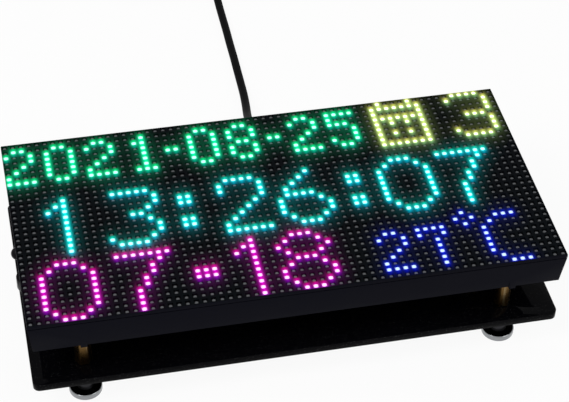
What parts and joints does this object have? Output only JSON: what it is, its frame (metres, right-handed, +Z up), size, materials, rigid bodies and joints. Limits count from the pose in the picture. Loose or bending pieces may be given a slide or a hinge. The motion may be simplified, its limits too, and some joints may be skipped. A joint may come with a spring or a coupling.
{
  "type": "led dot matrix display",
  "caption": "Full-colour LED dot-matrix module used as a desk clock, face up on a gloss black base plate with brass posts, magnet feet and a USB power cable.",
  "frame": {"origin": "centre of the four feet on the table", "axes": "+Z up from the table, +X along the long side to the right of the readings, +Y from the front edge towards the cable side"},
  "size_m": [0.193, 0.2992, 0.0446],
  "materials": {
    "mask_plastic": "matt black moulded lattice",
    "lamp_package": "unlit lamp packages behind the mask, grey",
    "lit_green": "lit lamp, green",
    "lit_yellow": "lit lamp, yellow",
    "lit_cyan": "lit lamp, cyan",
    "lit_magenta": "lit lamp, magenta",
    "lit_blue": "lit lamp, blue",
    "lamp_board": "dark green circuit board",
    "frame_plastic": "black glass-filled moulding",
    "screw_steel": "zinc plated steel",
    "turned_brass": "turned brass",
    "chip_plastic": "moulded chip package",
    "tinned_leads": "tinned leads",
    "can_aluminium": "bright aluminium can",
    "header_plastic": "black nylon",
    "header_white": "off-white nylon",
    "pin_gold": "gilded pins",
    "controller_mask": "black solder mask",
    "radio_board": "black solder mask",
    "screened_can": "stamped tinplate can",
    "plug_steel": "nickel plated sheet steel",
    "cell_steel": "stainless steel cell",
    "sensor_lens": "dark clear epoxy",
    "receiver_epoxy": "black epoxy that passes infrared",
    "black_acrylic": "polished black acrylic sheet",
    "foot_nickel": "bright nickel on turned steel",
    "magnet_nickel": "nickel plated magnet",
    "cord_jacket": "dark grey cable jacket",
    "tie_fabric": "woven hook-and-loop strap",
    "plug_grip": "black overmoulded grip"
  },
  "bodies": {
    "root": {"display_mask": "mask_plastic", "led_rows": "lamp_package", "lit_green": "lit_green", "lit_yellow": "lit_yellow", "lit_cyan": "lit_cyan", "lit_magenta": "lit_magenta", "lit_blue": "lit_blue", "led_board": "lamp_board", "panel_frame": "frame_plastic", "mask_screws": "screw_steel", "frame_inserts": "turned_brass", "driver_chips": "chip_plastic", "driver_leads": "tinned_leads", "buffer_chips": "chip_plastic", "row_switch_chips": "chip_plastic", "capacitor_cans": "can_aluminium", "capacitor_bases": "header_plastic", "data_in_shroud": "header_plastic", "data_out_shroud": "header_plastic", "data_pins": "pin_gold", "power_header": "header_white", "power_pins": "tinned_leads", "controller_board": "controller_mask", "data_socket": "header_plastic", "power_socket": "header_white", "radio_module": "radio_board", "radio_can": "screened_can", "usb_socket": "plug_steel", "coin_cell_holder": "header_plastic", "coin_cell": "cell_steel", "buzzer": "chip_plastic", "light_sensor": "sensor_lens", "ir_receiver": "receiver_epoxy", "post_front_left": "turned_brass", "post_front_right": "turned_brass", "post_rear_left": "turned_brass", "post_rear_right": "turned_brass", "base_plate": "black_acrylic", "foot_front_left": "foot_nickel", "foot_front_right": "foot_nickel", "foot_rear_left": "foot_nickel", "foot_rear_right": "foot_nickel", "foot_magnets": "magnet_nickel", "foot_studs": "screw_steel", "power_cord": "cord_jacket", "cord_coil": "cord_jacket", "cord_tie": "tie_fabric", "device_plug_grip": "plug_grip", "device_plug_shell": "plug_steel", "supply_plug_grip": "plug_grip", "supply_plug_shell": "plug_steel"}
  },
  "joints": []
}
